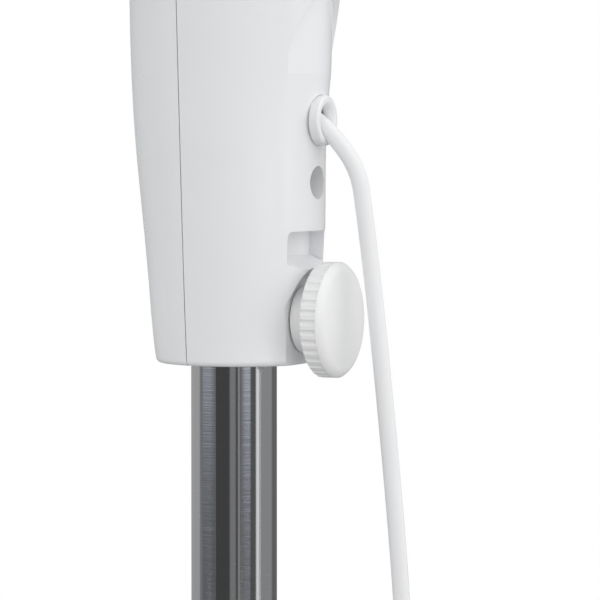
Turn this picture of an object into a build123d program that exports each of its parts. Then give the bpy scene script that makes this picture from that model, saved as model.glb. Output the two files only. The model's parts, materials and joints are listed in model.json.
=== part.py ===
"""Pedestal fan: weighted round base, telescopic pole, slim control housing clamped on the pole
by a ribbed thumb knob, tilting neck and an oscillating motor head with blade and wire guards.

Frame: millimetres, +Z up, origin on the floor at the middle of the base, pole axis on Z,
the fan blows towards -Y and the thumb knob and the mains cord are on the +Y side.
"""

import os
from math import pi, radians, tan

from build123d import *

os.makedirs("parts", exist_ok=True)

# ---------------------------------------------------------------- driving dimensions
GAP = 0.3                    # clearance between pieces that move past each other
RUN = 0.05                   # radial running clearance of a shaft or a slide
WALL = 2.2                   # moulded wall

# pole
POLE_R = 12.5                # chromed inner tube
POLE_WALL = 1.2
OUTER_R = 15.5               # painted outer tube
OUTER_WALL = 1.5
OUTER_BOTTOM = 12.0
OUTER_TOP = 520.0
POLE_BOTTOM = 120.0
SOCKET_DEPTH = 62.0          # how far the pole reaches into the control housing

# base
BASE_R = 190.0
PLATE_R = 168.0
PLATE_THICK = 9.0
PLATE_BOTTOM = 5.0
HUB_R = 21.0
HUB_TOP = 60.0

# control housing, heights counted from its own foot
HOUSING_Z = 640.0
SEAM_Y = -4.8                # plane where the two half shells meet
# height, half width, half depth, offset of the oval's middle towards the back
OVALS = (
    (0.0, 22.7, 23.8, 1.3),
    (22.0, 24.3, 25.3, 0.5),
    (45.0, 25.7, 26.9, -0.1),
    (84.0, 27.9, 29.2, -0.8),
)
HOOD_OVALS = (
    (108.0, 29.4, 30.9, 0.4),
    (140.0, 30.0, 31.4, 0.6),
    (172.0, 28.0, 29.4, 0.6),
)
HOUSING_TOP = 186.0

KNOB_Z = HOUSING_Z + 13.0
KNOB_R = 16.7
KNOB_BACK_Y = 28.0
KNOB_RIB_BAND = 5.2
KNOB_THICK = 7.8
KNOB_RIBS = 36
PAD_Y = 21.6                 # flat seat behind the knob
PAD_HALF = 13.0
LEDGE_Z = 26.2               # underside of the ledge above the seat, from the housing's foot
WINDOW_HALF = 13.0
WINDOW_TOP = 38.7
POCKET_Z = HOUSING_Z + 52.5
POCKET_R = 4.8
BUSH_Z = HOUSING_Z + 70.4
CORD_R = 2.5

# neck and head
TILT_Z = HOUSING_Z + 206.5   # tilt axis, along X
OSC_BASE_Z = TILT_Z + 44.5   # where the turning frame sits on the neck
MOTOR_Z = OSC_BASE_Z + 72.0  # blade axis, along Y
GUARD_R = 215.0
RIM_Y = -104.0               # plane where the two guards meet
WIRES = 60
WIRE_R = 1.1
RING_R = 1.7
BLADE_R = 192.0
BLADE_Y = -96.0              # middle plane of the blade


# ---------------------------------------------------------------- helpers
def save(piece, name):
    """Labels a finished piece and writes its STEP file."""
    piece.label = name
    export_step(piece, f"parts/{name}.step")


def hz(height):
    """Height above the floor of a height counted from the control housing's foot."""
    return HOUSING_Z + height


def across(y, x=0.0, z=0.0):
    """Sketch plane facing the back of the fan: local x runs to -X, local y up."""
    return Plane(origin=(x, y, z), x_dir=(-1, 0, 0), z_dir=(0, 1, 0))


def facing_front(y, x=0.0, z=0.0):
    """Sketch plane facing the front of the fan: local x runs to +X, local y up."""
    return Plane(origin=(x, y, z), x_dir=(1, 0, 0), z_dir=(0, -1, 0))


MOTOR_AXIS = Axis((0, 0, MOTOR_Z), (0, 1, 0))


# ================================================================ base
with BuildPart() as base_cover:
    with BuildSketch(Plane.XZ):
        with BuildLine():
            rim_foot = (BASE_R - 1.0, 4.0)
            rim_top = (BASE_R - 5.0, 15.0)
            dome_top = (44.0, 38.0)
            neck_top = (HUB_R + 4.0, 66.0)
            Line((BASE_R - 3.4, 4.0), rim_foot)
            ThreePointArc(rim_foot, (BASE_R + 0.0, 10.0), rim_top)
            ThreePointArc(rim_top, (118.0, 31.5), dome_top)
            ThreePointArc(dome_top, (29.5, 47.0), neck_top)
            Line(neck_top, (HUB_R + 1.5, 66.0))
            ThreePointArc((HUB_R + 1.5, 66.0), (27.0, 45.6), (42.8, 35.6))
            ThreePointArc((42.8, 35.6), (117.5, 29.1), (BASE_R - 7.0, 13.2))
            ThreePointArc((BASE_R - 7.0, 13.2), (BASE_R - 3.0, 9.5), (BASE_R - 3.4, 4.0))
        make_face()
    revolve(axis=Axis.Z)
save(base_cover.part, "base_cover")

with BuildPart() as base_plate:
    with BuildSketch(Plane.XY.offset(PLATE_BOTTOM)):
        Circle(PLATE_R)
    extrude(amount=PLATE_THICK)
    with BuildSketch(Plane.XY.offset(PLATE_BOTTOM + PLATE_THICK)):
        Circle(HUB_R)
    extrude(amount=HUB_TOP - PLATE_BOTTOM - PLATE_THICK)
    fillet(base_plate.edges().filter_by(GeomType.CIRCLE).filter_by_position(
        Axis.Z, PLATE_BOTTOM + PLATE_THICK - 0.1, PLATE_BOTTOM + PLATE_THICK + 0.1
    ).sort_by(SortBy.RADIUS)[0], radius=5.0)
    with BuildSketch(Plane.XY.offset(OUTER_BOTTOM)):
        Circle(OUTER_R)
    extrude(amount=HUB_TOP, mode=Mode.SUBTRACT)
    Hole(5.2)
save(base_plate.part, "base_plate")

with BuildPart() as base_feet:
    with BuildSketch(Plane.XY):
        with PolarLocations(PLATE_R - 14.0, 5):
            Circle(9.0)
    extrude(amount=PLATE_BOTTOM)
    fillet(base_feet.faces().sort_by(Axis.Z)[0].outer_wire().edges(), radius=1.0)
    fillet([e for f in base_feet.faces().group_by(Axis.Z)[0][1:] for e in f.edges()], radius=1.0)
save(base_feet.part, "base_feet")

with BuildPart() as base_bolt:
    with BuildSketch(Plane.XY.offset(1.0)):
        RegularPolygon(8.0, 6)
    extrude(amount=PLATE_BOTTOM - 1.0)
    with BuildSketch(Plane.XY.offset(PLATE_BOTTOM)):
        Circle(5.0)
    extrude(amount=26.0)
save(base_bolt.part, "base_bolt")

with BuildPart() as tube_plug:
    with BuildSketch(Plane.XY.offset(OUTER_BOTTOM + 2.0)):
        Circle(OUTER_R - OUTER_WALL)
        Circle(5.0, mode=Mode.SUBTRACT)
    extrude(amount=18.0)
save(tube_plug.part, "tube_plug")

# ================================================================ pole and height lock
with BuildPart() as outer_tube:
    with BuildSketch(Plane.XY.offset(OUTER_BOTTOM)):
        Circle(OUTER_R)
        Circle(OUTER_R - OUTER_WALL, mode=Mode.SUBTRACT)
    extrude(amount=OUTER_TOP - OUTER_BOTTOM)
save(outer_tube.part, "outer_tube")

with BuildPart() as inner_tube:
    with BuildSketch(Plane.XY.offset(POLE_BOTTOM)):
        Circle(POLE_R)
        Circle(POLE_R - POLE_WALL, mode=Mode.SUBTRACT)
    extrude(amount=hz(SOCKET_DEPTH) - POLE_BOTTOM)
save(inner_tube.part, "inner_tube")

with BuildPart() as tube_bush:
    with BuildSketch(Plane.XY.offset(POLE_BOTTOM)):
        Circle(OUTER_R - OUTER_WALL - RUN)
        Circle(POLE_R, mode=Mode.SUBTRACT)
    extrude(amount=34.0)
    with BuildSketch(Plane.XY.offset(POLE_BOTTOM - 2.0)):
        Circle(OUTER_R - OUTER_WALL - RUN)
        Circle(POLE_R - 2.0, mode=Mode.SUBTRACT)
    extrude(amount=2.0)
save(tube_bush.part, "tube_bush")

COLLET_TOP = OUTER_TOP + 26.0
COLLET_LENGTH = 110.0        # its lower end stops the bush at the top of the pole's travel
with BuildPart() as guide_collet:
    with BuildSketch(Plane.XZ):
        with BuildLine():
            Polyline(
                (POLE_R + RUN, OUTER_TOP - COLLET_LENGTH),
                (OUTER_R - OUTER_WALL, OUTER_TOP - COLLET_LENGTH),
                (OUTER_R - OUTER_WALL, OUTER_TOP),
                (18.0, OUTER_TOP),
                (18.0, OUTER_TOP + 4.0),
                (15.6, OUTER_TOP + 4.0),
                (14.4, COLLET_TOP),
                (POLE_R + RUN, COLLET_TOP),
                close=True,
            )
        make_face()
    revolve(axis=Axis.Z)
    with BuildSketch(Plane.XY.offset(OUTER_TOP + 6.0)):
        with PolarLocations(0, 2):
            Rectangle(60.0, 2.4)
        with PolarLocations(0, 2, start_angle=90):
            Rectangle(60.0, 2.4)
    extrude(amount=30.0, mode=Mode.SUBTRACT)
save(guide_collet.part, "guide_collet")

COLLAR_BOTTOM = OUTER_TOP - 26.0
COLLAR_TOP = OUTER_TOP + 30.0
COLLAR_R = 24.0
COLLAR_RIBS = 20
with BuildPart() as thread_sleeve:
    with BuildSketch(Plane.XY.offset(COLLAR_BOTTOM - 10.0)):
        Circle(19.0)
        Circle(OUTER_R, mode=Mode.SUBTRACT)
    extrude(amount=OUTER_TOP - COLLAR_BOTTOM + 10.0)
    with BuildSketch(Plane.XY.offset(COLLAR_BOTTOM - 14.0)):
        Circle(21.0)
        Circle(OUTER_R, mode=Mode.SUBTRACT)
    extrude(amount=8.0)
    fillet(thread_sleeve.edges().filter_by(GeomType.CIRCLE).group_by(Axis.Z)[0].sort_by(
        SortBy.RADIUS)[-1], radius=3.0)
save(thread_sleeve.part, "thread_sleeve")

with BuildPart() as height_collar:
    with BuildSketch(Plane.XZ):
        with BuildLine():
            Line((19.0 + GAP, COLLAR_BOTTOM), (COLLAR_R - 1.5, COLLAR_BOTTOM))
            Line((COLLAR_R - 1.5, COLLAR_BOTTOM), (COLLAR_R, COLLAR_BOTTOM + 3.0))
            Line((COLLAR_R, COLLAR_BOTTOM + 3.0), (COLLAR_R, COLLAR_TOP - 12.0))
            ThreePointArc((COLLAR_R, COLLAR_TOP - 12.0), (22.2, COLLAR_TOP - 4.5), (17.0, COLLAR_TOP))
            Line((17.0, COLLAR_TOP), (POLE_R + 0.6, COLLAR_TOP))
            Line((POLE_R + 0.6, COLLAR_TOP), (POLE_R + 0.6, COLLET_TOP + 1.0))
            Line((POLE_R + 0.6, COLLET_TOP + 1.0), (15.2, COLLET_TOP + 1.0))
            Line((15.2, COLLET_TOP + 1.0), (16.4, OUTER_TOP + 5.0))
            Line((16.4, OUTER_TOP + 5.0), (19.0 + GAP, OUTER_TOP + 5.0))
            Line((19.0 + GAP, OUTER_TOP + 5.0), (19.0 + GAP, COLLAR_BOTTOM))
        make_face()
    revolve(axis=Axis.Z)
    with BuildSketch(Plane.XY.offset(COLLAR_BOTTOM + 5.0)):
        with PolarLocations(COLLAR_R + 0.6, COLLAR_RIBS):
            Circle(1.9)
    extrude(amount=COLLAR_TOP - COLLAR_BOTTOM - 18.0, mode=Mode.SUBTRACT)
save(height_collar.part, "height_collar")


# ================================================================ control housing
def oval_loft(ovals, inset=0.0, ends=0.0, turn=-90.0):
    """Upright body through the ovals, drawn in by inset, its ends trimmed back and its top rounded.

    Turn sets the side that carries the surface's own seam: -90 the front, 90 the back.
    """
    with BuildPart() as body:
        last = len(ovals) - 1
        for i, (height, half_width, half_depth, shift) in enumerate(ovals):
            trim = ends if i == 0 else -ends if i == last else 0.0
            with BuildSketch(Plane.XY.offset(hz(height + trim))):
                with Locations((0, shift)):
                    Ellipse(half_depth - inset, half_width - inset, rotation=turn)
        loft()
        if ends > 0:
            fillet(body.edges().group_by(Axis.Z)[-1], radius=TOP_ROUND - ends)
    return body.part


TOP_ROUND = 9.0
FOOT_ROUND = 1.6
TOP_OVAL = (HOUSING_TOP, 26.6, 28.0, 0.6)
OUTER_OVALS = OVALS + HOOD_OVALS + (TOP_OVAL,)
plain_outer = oval_loft(OVALS + ((108.0, 28.6, 29.8, -0.9), (140.0, 29.0, 30.2, -0.9), TOP_OVAL))
hood_outer = oval_loft(OUTER_OVALS)
hollow = oval_loft(OUTER_OVALS, WALL, WALL)
fascia_outer = oval_loft(OUTER_OVALS, -0.7)
fascia_inner = oval_loft(OUTER_OVALS, 1.0)
lip_outer = oval_loft(OUTER_OVALS, 1.2, 1.2)

ARCH_HALF = 19.0
ARCH_FOOT = 84.0
ARCH_RISE = 21.0
with BuildPart() as arch_cutter:
    with BuildSketch(across(24.0, z=hz(ARCH_FOOT))):
        Ellipse(ARCH_HALF - 3.0, ARCH_RISE - 3.0)
    with BuildSketch(across(34.0, z=hz(ARCH_FOOT))):
        Ellipse(ARCH_HALF + 7.0, ARCH_RISE + 7.0)
    loft(ruled=True)
arch_recess = arch_cutter.part - plain_outer

with BuildPart() as housing_form:
    add(hood_outer)
    fillet(housing_form.edges().group_by(Axis.Z)[0], radius=FOOT_ROUND)
    fillet(housing_form.edges().group_by(Axis.Z)[-1], radius=TOP_ROUND)
    add(arch_recess, mode=Mode.SUBTRACT)

HALF_GAP = 0.15              # half of the fine gap along the seam
BOX = 400.0                  # larger than the housing, for cutting it in half
pole_hole = Cylinder(POLE_R + GAP, 30.0).moved(Location((0, 0, HOUSING_Z)))

# flat seat behind the knob: arch topped, open at the housing's foot, its edges rounded over
with BuildPart() as seat_cutter:
    with BuildSketch(across(PAD_Y, z=KNOB_Z)):
        Circle(PAD_HALF)
        with Locations((0, -PAD_HALF)):
            Rectangle(2 * PAD_HALF, 2 * PAD_HALF)
    extrude(amount=20.0)
    with BuildSketch(across(PAD_Y + 1.6, z=KNOB_Z)):
        Circle(PAD_HALF)
        with Locations((0, -PAD_HALF)):
            Rectangle(2 * PAD_HALF, 2 * PAD_HALF)
    extrude(amount=20.0, taper=-38.0)

# window above the seat: a square opening in the wall with a ramped pocket behind it
POCKET_BACK_Y = 18.4
with BuildPart() as window_cutter:
    with BuildSketch(Plane.YZ.offset(-WINDOW_HALF)):
        with BuildLine():
            Polyline(
                (POCKET_BACK_Y, hz(LEDGE_Z + 5.0)),
                (27.2, hz(LEDGE_Z + 0.8)),
                (40.0, hz(LEDGE_Z + 0.8)),
                (40.0, hz(WINDOW_TOP)),
                (POCKET_BACK_Y, hz(WINDOW_TOP)),
                close=True,
            )
        make_face()
    extrude(amount=2 * WINDOW_HALF)
    fillet(window_cutter.edges().filter_by(Axis.Y).group_by(Axis.Z)[-1], radius=1.6)

NUT_BACK_Y = 16.4
NUT_FRONT_Y = 20.4
SLEEVE_R = 16.0
POST_BACK_Y = 16.8           # where the screw post meets the pole sleeve's boss
with BuildPart() as rear_ribs:
    # pocket box behind the window, the screw post, and the wall that holds the knob's nut
    with BuildSketch(Plane.XY.offset(hz(LEDGE_Z - 2.0))):
        with Locations((0, 23.5)):
            Rectangle(2 * (WINDOW_HALF + 1.8), 14.0)
    extrude(amount=WINDOW_TOP - LEDGE_Z + 4.0)
    with BuildSketch(across(POST_BACK_Y, z=POCKET_Z)):
        Circle(POCKET_R + 1.7)
    extrude(amount=16.0)
    with BuildSketch(across(SLEEVE_R + GAP, z=KNOB_Z)):
        Circle(PAD_HALF + 1.2)
        with Locations((0, -PAD_HALF)):
            Rectangle(2 * (PAD_HALF + 1.2), 2 * PAD_HALF)
    extrude(amount=12.0)
rear_inside = rear_ribs.part & oval_loft(OUTER_OVALS, 0.6, 0.6)

UPPER_SCREW_Z = hz(172.0)
UPPER_SCREW_X = 13.0
STUD_R = 3.0
NUT_SIDE = 10.0
BUSH_SEAT_Y = 27.0
BUSH_FLANGE_R = 7.25
BUSH_NECK_R = 5.6
half_space = Box(BOX, BOX, BOX)
rear_half = half_space.moved(Location((0, SEAM_Y + HALF_GAP + BOX / 2, hz(90))))
front_half = half_space.moved(Location((0, SEAM_Y - HALF_GAP - BOX / 2, hz(90))))
# tongue along the rear half's edge that reaches inside the front half, and the rib it stands on
LIP_IN = WALL + 1.2
lip_core = oval_loft(OUTER_OVALS, LIP_IN, LIP_IN)
lip_rib = (oval_loft(OUTER_OVALS, 1.6, 1.6) - lip_core) & Box(BOX, 3.0, BOX).moved(
    Location((0, SEAM_Y + 4.0, hz(90))))
lip_tongue = (oval_loft(OUTER_OVALS, WALL + 0.15, WALL + 0.15) - lip_core) & Box(BOX, 6.0, BOX).moved(
    Location((0, SEAM_Y, hz(90))))
screw_post = Cylinder(4.6, 30.0, rotation=(90, 0, 0))
rear_posts = [
    screw_post.moved(Location((x, SEAM_Y + 17.7, UPPER_SCREW_Z))) & lip_outer
    for x in (-UPPER_SCREW_X, UPPER_SCREW_X)
]
front_posts = [
    screw_post.moved(Location((x, SEAM_Y - 17.5, UPPER_SCREW_Z))) & lip_outer
    for x in (-UPPER_SCREW_X, UPPER_SCREW_X)
]

with BuildPart() as rear_housing:
    add((housing_form.part - hollow) & rear_half)
    add(rear_inside)
    add(lip_rib)
    add(lip_tongue)
    for post in rear_posts:
        add(post)
    add(pole_hole, mode=Mode.SUBTRACT)
    add(seat_cutter.part, mode=Mode.SUBTRACT)
    add(window_cutter.part, mode=Mode.SUBTRACT)
    with BuildSketch(across(10.0, z=KNOB_Z)):
        Circle(STUD_R + GAP)
    extrude(amount=20.0, mode=Mode.SUBTRACT)
    with BuildSketch(across(NUT_BACK_Y - 2.0, z=KNOB_Z)):
        Rectangle(NUT_SIDE, NUT_SIDE)
    extrude(amount=NUT_FRONT_Y - NUT_BACK_Y + 2.0, mode=Mode.SUBTRACT)
    with BuildSketch(across(19.5, z=POCKET_Z)):
        Circle(POCKET_R)
    extrude(amount=20.0, mode=Mode.SUBTRACT)
    with BuildSketch(across(10.0, z=POCKET_Z)):
        Circle(2.1)
    extrude(amount=20.0, mode=Mode.SUBTRACT)
    with BuildSketch(across(20.0, z=BUSH_Z)):
        Circle(BUSH_NECK_R)
    extrude(amount=20.0, mode=Mode.SUBTRACT)
    with BuildSketch(across(BUSH_SEAT_Y, z=BUSH_Z)):
        Circle(BUSH_FLANGE_R + 0.2)
    extrude(amount=20.0, mode=Mode.SUBTRACT)
    with BuildSketch(across(SEAM_Y, z=UPPER_SCREW_Z)):
        with Locations((-UPPER_SCREW_X, 0), (UPPER_SCREW_X, 0)):
            Circle(1.9)
    extrude(amount=60.0, mode=Mode.SUBTRACT)
    with BuildSketch(across(SEAM_Y + 16.0, z=UPPER_SCREW_Z)):
        with Locations((-UPPER_SCREW_X, 0), (UPPER_SCREW_X, 0)):
            Circle(3.4)
    extrude(amount=60.0, mode=Mode.SUBTRACT)
save(rear_housing.part, "rear_housing")

FASCIA_MID = 137.0           # middle of the control strip, from the housing's foot
FASCIA_LENGTH = 62.0
FASCIA_WIDTH = 33.0
BUTTON_WIDTH = 16.0
BUTTON_HEIGHT = 8.0
BUTTON_PITCH = 10.5
BUTTON_NAMES = ("button_high", "button_medium", "button_low", "button_off")
BUTTON_HEIGHTS = [hz(FASCIA_MID + 12.5 - i * BUTTON_PITCH) for i in range(len(BUTTON_NAMES))]
BUTTON_FACE_Y = -34.6
BUTTON_BACK_Y = -24.0
BUTTON_TRAVEL = 3.0
STEM_BACK_Y = -18.0
LAMP_Z = hz(FASCIA_MID + 22.0)


def strip_body(margin):
    """Upright slot-shaped prism through the front wall, for the control strip."""
    with BuildPart() as body:
        with BuildSketch(facing_front(-12.0, z=hz(FASCIA_MID))):
            SlotOverall(FASCIA_LENGTH + 2 * margin, FASCIA_WIDTH + 2 * margin, rotation=90)
        extrude(amount=40.0)
    return body.part


with BuildPart() as front_form:
    add(oval_loft(OUTER_OVALS, turn=90.0))
    fillet(front_form.edges().group_by(Axis.Z)[0], radius=FOOT_ROUND)
    fillet(front_form.edges().group_by(Axis.Z)[-1], radius=TOP_ROUND)
front_shell = (front_form.part & front_half) - oval_loft(OUTER_OVALS, WALL, WALL, turn=90.0)

with BuildPart() as front_housing:
    add(front_shell)
    for post in front_posts:
        add(post)
    add(pole_hole, mode=Mode.SUBTRACT)
    add(strip_body(0.15) - fascia_inner, mode=Mode.SUBTRACT)
    add(strip_body(-3.0), mode=Mode.SUBTRACT)
    with BuildSketch(across(SEAM_Y - 20.0, z=UPPER_SCREW_Z)):
        with Locations((-UPPER_SCREW_X, 0), (UPPER_SCREW_X, 0)):
            Circle(1.7)
    extrude(amount=30.0, mode=Mode.SUBTRACT)
save(front_housing.part, "front_housing")

with BuildPart() as control_strip:
    add(strip_body(0.0) & fascia_outer)
    add(fascia_inner, mode=Mode.SUBTRACT)
    with BuildSketch(facing_front(-12.0)):
        with Locations(*[(0, z) for z in BUTTON_HEIGHTS]):
            RectangleRounded(BUTTON_WIDTH + 0.6, BUTTON_HEIGHT + 0.6, 2.6)
        with Locations((0, LAMP_Z)):
            Circle(2.0)
    extrude(amount=40.0, mode=Mode.SUBTRACT)
save(control_strip.part, "control_strip")

for button_name, z in zip(BUTTON_NAMES, BUTTON_HEIGHTS):
    with BuildPart() as button:
        with BuildSketch(facing_front(BUTTON_BACK_Y, z=z)):
            RectangleRounded(BUTTON_WIDTH, BUTTON_HEIGHT, 2.3)
        extrude(amount=BUTTON_BACK_Y - BUTTON_FACE_Y)
        fillet(button.faces().sort_by(Axis.Y)[0].outer_wire().edges(), radius=1.4)
        with BuildSketch(facing_front(STEM_BACK_Y, z=z)):
            Rectangle(5.0, 5.0)
        extrude(amount=STEM_BACK_Y - BUTTON_BACK_Y)
    save(button.part, button_name)

SWITCH_FRONT_Y = -20.5
with BuildPart() as switch_block:
    with BuildSketch(Plane.XY.offset(hz(FASCIA_MID - 27.0))):
        with Locations((0, (SWITCH_FRONT_Y - 4.0) / 2)):
            Rectangle(22.0, -4.0 - SWITCH_FRONT_Y)
    extrude(amount=53.0)
    with BuildSketch(facing_front(STEM_BACK_Y + BUTTON_TRAVEL + 1.0)):
        with Locations(*[(0, z) for z in BUTTON_HEIGHTS]):
            Rectangle(6.0, 6.0)
    extrude(amount=10.0, mode=Mode.SUBTRACT)
    with BuildSketch(facing_front(SWITCH_FRONT_Y, z=LAMP_Z)):
        Rectangle(5.0, 3.0)
    extrude(amount=5.5)
save(switch_block.part, "switch_block")

with BuildPart() as pilot_lamp:
    with BuildSketch(facing_front(-26.0, z=LAMP_Z)):
        Circle(1.9)
    extrude(amount=7.0)
    fillet(pilot_lamp.faces().sort_by(Axis.Y)[0].edges(), radius=1.2)
save(pilot_lamp.part, "pilot_lamp")

with BuildPart() as run_capacitor:
    with BuildSketch(Plane.XY.offset(hz(98.0))):
        with Locations((0, 13.0)):
            RectangleRounded(32.0, 15.0, 2.0)
    extrude(amount=30.0)
    fillet(run_capacitor.faces().sort_by(Axis.Z)[-1].edges(), radius=1.0)
save(run_capacitor.part, "run_capacitor")

with BuildPart() as terminal_block:
    with BuildSketch(Plane.XY.offset(hz(76.0))):
        with Locations((0, 5.0)):
            Rectangle(24.0, 12.0)
    extrude(amount=14.0)
    with BuildSketch(Plane.XY.offset(hz(84.0))):
        with Locations((-8.0, 5.0), (0, 5.0), (8.0, 5.0)):
            Circle(2.2)
    extrude(amount=10.0, mode=Mode.SUBTRACT)
save(terminal_block.part, "terminal_block")

with BuildPart() as pole_sleeve:
    with BuildSketch(Plane.XY.offset(hz(LIP_IN + 0.1))):
        Circle(SLEEVE_R)
    extrude(amount=SOCKET_DEPTH + 3.0 - LIP_IN - 0.1)
    with BuildSketch(across(0.0, z=POCKET_Z)):
        Circle(4.6)
    extrude(amount=POST_BACK_Y)
    with BuildSketch(Plane.XY.offset(hz(SOCKET_DEPTH + 3.0))):
        Rectangle(24.0, 12.0)
    extrude(amount=4.0)
    with BuildSketch(Plane.XY.offset(HOUSING_Z)):
        Circle(POLE_R + RUN)
    extrude(amount=SOCKET_DEPTH, mode=Mode.SUBTRACT)
    with BuildSketch(across(0.0, z=KNOB_Z)):
        Circle(STUD_R + GAP)
    extrude(amount=20.0, mode=Mode.SUBTRACT)
    with BuildSketch(across(POLE_R, z=POCKET_Z)):
        Circle(1.6)
    extrude(amount=20.0, mode=Mode.SUBTRACT)
save(pole_sleeve.part, "pole_sleeve")

SCREW_HEAD_R = 3.3


def panhead_screw(tip_y, seat_y, shank_r, centres, head=2.2):
    """Pan head screws along Y, driven from the back, one at each (x, z)."""
    with BuildPart() as screws:
        with BuildSketch(across(tip_y)):
            with Locations(*[(-x, z) for x, z in centres]):
                Circle(shank_r)
        extrude(amount=seat_y - tip_y)
        with BuildSketch(across(seat_y)):
            with Locations(*[(-x, z) for x, z in centres]):
                Circle(SCREW_HEAD_R)
        extrude(amount=head)
        fillet(screws.edges().group_by(Axis.Y)[-1], radius=1.3)
        with BuildSketch(across(seat_y + head - 1.2)):
            with Locations(*[(-x, z) for x, z in centres]):
                Rectangle(3.6, 0.8)
                Rectangle(0.8, 3.6)
        extrude(amount=2.0, mode=Mode.SUBTRACT)
    return screws.part


save(panhead_screw(POLE_R + RUN, 19.5, 1.5, [(0.0, POCKET_Z)]), "sleeve_screw")
upper_screws = [(-UPPER_SCREW_X, UPPER_SCREW_Z), (UPPER_SCREW_X, UPPER_SCREW_Z)]
save(panhead_screw(SEAM_Y - 14.0, SEAM_Y + 16.0, 1.6, upper_screws), "housing_screws")

# ---------------------------------------------------------------- pole clamp
HUB_BACK_Y = PAD_Y + 0.5
KNOB_HUB_R = 9.5
KNOB_GROOVE_R = 0.95
with BuildPart() as clamp_nut:
    with BuildSketch(across(NUT_BACK_Y, z=KNOB_Z)):
        Rectangle(NUT_SIDE, NUT_SIDE)
        Circle(STUD_R, mode=Mode.SUBTRACT)
    extrude(amount=NUT_FRONT_Y - NUT_BACK_Y)
save(clamp_nut.part, "clamp_nut")

with BuildPart() as clamp_stud:
    with BuildSketch(across(POLE_R + RUN, z=KNOB_Z)):
        Circle(STUD_R)
    extrude(amount=KNOB_BACK_Y + 3.0 - POLE_R - RUN)
    chamfer(clamp_stud.edges().group_by(Axis.Y)[0], length=0.7)
save(clamp_stud.part, "clamp_stud")

KNOB_FACE_Y = KNOB_BACK_Y + KNOB_THICK
with BuildPart() as clamp_knob:
    # turned profile: hub, ribbed band, rounded shoulder and a slightly domed face
    with BuildSketch(Plane.YZ):
        with BuildLine():
            Line((HUB_BACK_Y, KNOB_Z), (HUB_BACK_Y, KNOB_Z + KNOB_HUB_R))
            Line((HUB_BACK_Y, KNOB_Z + KNOB_HUB_R), (KNOB_BACK_Y, KNOB_Z + KNOB_HUB_R + 0.6))
            Line((KNOB_BACK_Y, KNOB_Z + KNOB_HUB_R + 0.6), (KNOB_BACK_Y, KNOB_Z + KNOB_R - 0.6))
            Line((KNOB_BACK_Y, KNOB_Z + KNOB_R - 0.6), (KNOB_BACK_Y + 0.6, KNOB_Z + KNOB_R))
            band_end = (KNOB_BACK_Y + KNOB_RIB_BAND, KNOB_Z + KNOB_R)
            face_edge = (KNOB_FACE_Y - 0.7, KNOB_Z + KNOB_R - 2.9)
            Line((KNOB_BACK_Y + 0.6, KNOB_Z + KNOB_R), band_end)
            ThreePointArc(band_end, (KNOB_FACE_Y - 1.5, KNOB_Z + KNOB_R - 0.9), face_edge)
            ThreePointArc(face_edge, (KNOB_FACE_Y - 0.25, KNOB_Z + 9.0), (KNOB_FACE_Y, KNOB_Z + 3.0))
            Line((KNOB_FACE_Y, KNOB_Z + 3.0), (KNOB_FACE_Y, KNOB_Z))
            Line((KNOB_FACE_Y, KNOB_Z), (HUB_BACK_Y, KNOB_Z))
        make_face()
    revolve(axis=Axis((0, 0, KNOB_Z), (0, 1, 0)))
    with BuildSketch(across(KNOB_BACK_Y - 0.5, z=KNOB_Z)):
        with PolarLocations(KNOB_R + 0.25, KNOB_RIBS):
            Circle(KNOB_GROOVE_R)
    extrude(amount=KNOB_RIB_BAND + 0.2, mode=Mode.SUBTRACT)
    with BuildSketch(across(HUB_BACK_Y - 1.0, z=KNOB_Z)):
        Circle(STUD_R)
    extrude(amount=KNOB_BACK_Y + 3.0 - HUB_BACK_Y + 1.0, mode=Mode.SUBTRACT)
save(clamp_knob.part, "clamp_knob")

# ---------------------------------------------------------------- cord bush and mains cord
BUSH_FACE_Y = 29.9
BUSH_BACK_Y = 25.0
BUSH_WAIST_R = 3.8
with BuildPart() as cord_bush:
    # flanged ring, its hole flared like a trumpet at both ends
    with BuildSketch(Plane.YZ):
        with BuildLine():
            Line((BUSH_BACK_Y, BUSH_Z + 5.3), (BUSH_BACK_Y, BUSH_Z + BUSH_NECK_R - 0.1))
            Line((BUSH_BACK_Y, BUSH_Z + BUSH_NECK_R - 0.1), (BUSH_SEAT_Y, BUSH_Z + BUSH_NECK_R - 0.1))
            Line((BUSH_SEAT_Y, BUSH_Z + BUSH_NECK_R - 0.1), (BUSH_SEAT_Y, BUSH_Z + BUSH_FLANGE_R))
            Line((BUSH_SEAT_Y, BUSH_Z + BUSH_FLANGE_R), (BUSH_FACE_Y - 0.8, BUSH_Z + BUSH_FLANGE_R))
            ThreePointArc(
                (BUSH_FACE_Y - 0.8, BUSH_Z + BUSH_FLANGE_R),
                (BUSH_FACE_Y - 0.22, BUSH_Z + BUSH_FLANGE_R - 0.25),
                (BUSH_FACE_Y, BUSH_Z + BUSH_FLANGE_R - 0.8),
            )
            Line((BUSH_FACE_Y, BUSH_Z + BUSH_FLANGE_R - 0.8), (BUSH_FACE_Y, BUSH_Z + 5.6))
            ThreePointArc(
                (BUSH_FACE_Y, BUSH_Z + 5.6),
                (BUSH_FACE_Y - 1.2, BUSH_Z + 4.2),
                (BUSH_FACE_Y - 2.9, BUSH_Z + BUSH_WAIST_R),
            )
            Line((BUSH_FACE_Y - 2.9, BUSH_Z + BUSH_WAIST_R), (BUSH_BACK_Y, BUSH_Z + 5.3))
        make_face()
    revolve(axis=Axis((0, 0, BUSH_Z), (0, 1, 0)))

save(cord_bush.part, "cord_bush")

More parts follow.
